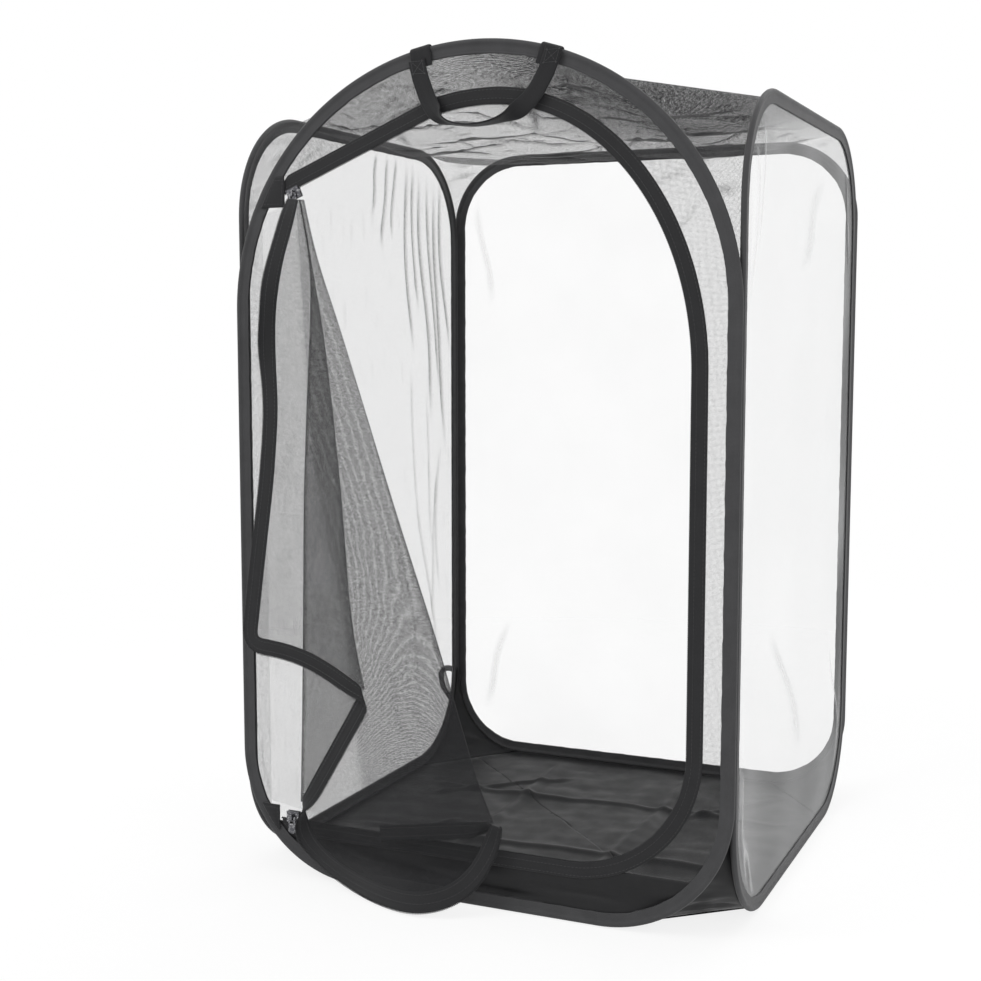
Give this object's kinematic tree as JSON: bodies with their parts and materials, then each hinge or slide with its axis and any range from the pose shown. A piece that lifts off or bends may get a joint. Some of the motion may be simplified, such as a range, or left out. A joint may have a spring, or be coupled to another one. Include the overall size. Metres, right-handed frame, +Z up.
{
  "type": "insect cage",
  "caption": "Pop-up insect cage with sprung loop panels, mesh roof, clear windows, opaque floor and a zipped mesh door that hangs open in folds.",
  "frame": {"origin": "on the ground under the middle of the cage, at the floor cloth's underside", "axes": "+Z up, the front panel with the door faces -Y, +X to the viewer's right"},
  "size_m": [0.418, 0.4378, 0.635],
  "materials": {
    "binding_tape": "woven tape folded over the wire",
    "spring_steel": "drawn wire",
    "black_mesh": "fine open mesh",
    "pale_mesh": "fine sheer mesh",
    "clear_film": "clear soft film",
    "black_polyester": "dense plain weave",
    "zipper_tape": "woven tape",
    "zipper_coil": "moulded coil",
    "slider_metal": "dark painted die casting",
    "webbing": "woven webbing"
  },
  "bodies": {
    "front_panel": {"front_loop_wire": "spring_steel", "front_loop_binding": "binding_tape", "front_mesh_border": "black_mesh", "front_lower_band": "black_polyester", "door_zip_tape": "zipper_tape", "door_zip_coil": "zipper_coil", "zip_patch_upper": "zipper_tape", "zip_patch_lower": "zipper_tape", "handle_tab_left": "webbing", "handle_tab_right": "webbing", "roof_mesh": "black_mesh", "floor_sheet": "black_polyester", "floor_gusset_front_left": "black_polyester", "floor_gusset_front_right": "black_polyester", "roof_gusset_front_left": "black_mesh", "roof_gusset_front_right": "black_mesh"},
    "left_panel": {"left_loop_wire": "spring_steel", "left_loop_binding": "binding_tape", "left_mesh_panel": "pale_mesh", "floor_gusset_back_left": "black_polyester", "roof_gusset_back_left": "black_mesh"},
    "right_panel": {"right_loop_wire": "spring_steel", "right_loop_binding": "binding_tape", "right_clear_window": "clear_film", "floor_gusset_back_right": "black_polyester", "roof_gusset_back_right": "black_mesh"},
    "back_panel": {"back_loop_wire": "spring_steel", "back_loop_binding": "binding_tape", "back_clear_window": "clear_film", "storage_loop": "webbing"},
    "door_flap": {"door_flap": "black_mesh", "flap_zip_tape": "zipper_tape", "flap_zip_coil": "zipper_coil"},
    "carry_handle": {"carry_strap": "webbing"},
    "upper_slider": {"zip_slider_upper": "slider_metal"},
    "upper_pull": {"zip_pull_upper": "slider_metal"},
    "lower_slider": {"zip_slider_lower": "slider_metal"},
    "lower_pull": {"zip_pull_lower": "slider_metal"}
  },
  "joints": [
    {"name": "left_panel_fold", "type": "hinge", "parent": "front_panel", "child": "left_panel", "pos_m": [-0.1956, -0.19535, 0], "axis": [0, 0, -1], "range_deg": [0, 84], "stiffness_Nm_per_rad": 0.3, "deforming": ["roof_mesh", "floor_sheet", "floor_gusset_front_left", "roof_gusset_front_left", "floor_gusset_back_left", "roof_gusset_back_left"]},
    {"name": "right_panel_fold", "type": "hinge", "parent": "front_panel", "child": "right_panel", "pos_m": [0.2, -0.19535, 0], "axis": [0, 0, -1], "range_deg": [0, 84], "deforming": ["floor_gusset_front_right", "roof_gusset_front_right"]},
    {"name": "back_panel_fold", "type": "hinge", "parent": "right_panel", "child": "back_panel", "pos_m": [0.1956, 0.19535, 0], "axis": [0, 0, 1], "range_deg": [0, 84], "deforming": ["floor_gusset_back_right", "roof_gusset_back_right"]},
    {"name": "door_flap_swing", "type": "hinge", "parent": "front_panel", "child": "door_flap", "pos_m": [-0.176, -0.1986, 0], "axis": [0, 0, -1], "range_deg": [0, 90]},
    {"name": "handle_swing", "type": "hinge", "parent": "front_panel", "child": "carry_handle", "pos_m": [0.011, -0.2024, 0.61557], "axis": [-1, 0, 0], "range_deg": [0, 180]},
    {"name": "upper_slider_slide", "type": "slide", "parent": "front_panel", "child": "upper_slider", "axis": [0.9258, 0, 0.3781], "range_m": [0, 0.11]},
    {"name": "upper_pull_swing", "type": "hinge", "parent": "upper_slider", "child": "upper_pull", "pos_m": [-0.14749, -0.20045, 0.53238], "axis": [-1, 0, 0], "range_deg": [0, 150]},
    {"name": "lower_slider_slide", "type": "slide", "parent": "front_panel", "child": "lower_slider", "axis": [1, 0, 0], "range_m": [0, 0.21]},
    {"name": "lower_pull_swing", "type": "hinge", "parent": "lower_slider", "child": "lower_pull", "pos_m": [-0.1555, -0.20045, 0.04755], "axis": [-1, 0, 0], "range_deg": [0, 150]}
  ],
  "couplings": [
    {"joint": "right_panel_fold", "follows": "left_panel_fold", "ratio": 1},
    {"joint": "back_panel_fold", "follows": "left_panel_fold", "ratio": 1}
  ]
}
